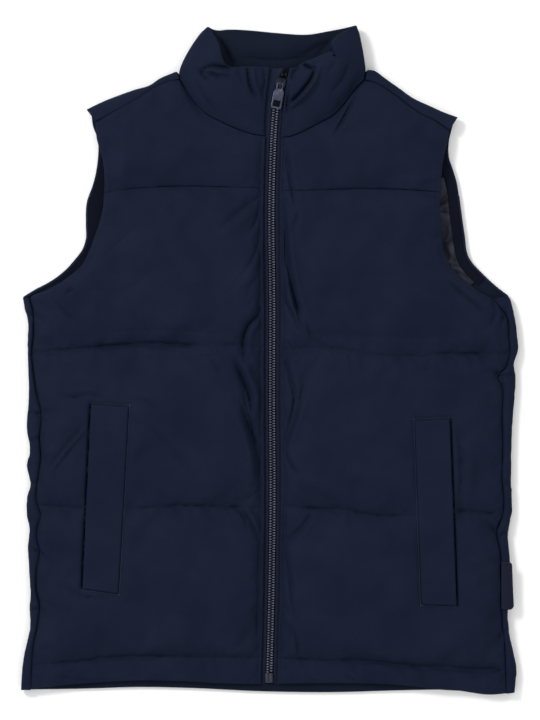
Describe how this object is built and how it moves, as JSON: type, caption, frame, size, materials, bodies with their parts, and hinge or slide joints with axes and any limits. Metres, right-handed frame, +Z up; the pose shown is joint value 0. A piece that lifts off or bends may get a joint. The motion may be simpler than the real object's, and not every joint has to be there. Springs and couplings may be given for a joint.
{
  "type": "puffer vest",
  "caption": "Adult's sleeveless quilted padded vest with stand collar, front zip and side pockets, laid flat face up and zipped, its side edges rolled round to the front.",
  "frame": {"origin": "on the surface that the vest lies on, under the middle of its length and width", "axes": "+Z up from that surface, +Y up the body from hem to collar, +X across towards the wearer's left"},
  "size_m": [0.576, 0.7741, 0.0361],
  "materials": {
    "shell": "dark navy woven polyester with a soft low sheen",
    "inside": "dark navy facing cloth, matte",
    "lining": "charcoal lining cloth, matte",
    "label": "blank rubbery tab, satin",
    "tape": "woven zip tape, matte",
    "teeth": "dark moulded plastic, satin",
    "metal": "dark nickel, polished"
  },
  "bodies": {
    "vest": {"back": "shell", "back_yoke": "shell", "front_right": "shell", "front_left": "shell", "front_yoke_right": "shell", "front_yoke_left": "shell", "collar": "shell", "welt_right": "shell", "welt_left": "shell", "armhole_facing_right": "inside", "armhole_facing_left": "inside", "lining": "lining", "side_label": "label", "zip_tape_right": "tape", "zip_tape_left": "tape", "zip_teeth": "teeth", "zip_box": "teeth", "zip_stop_right": "teeth", "zip_stop_left": "teeth", "zip_slider": "metal"},
    "pull": {"zip_pull": "metal"}
  },
  "joints": [
    {"name": "zip_pull_hinge", "type": "hinge", "parent": "vest", "child": "pull", "pos_m": [0.01255, 0.3189, 0.02346], "axis": [-0.9816, 0.1908, 0], "range_deg": [0, 165]}
  ]
}
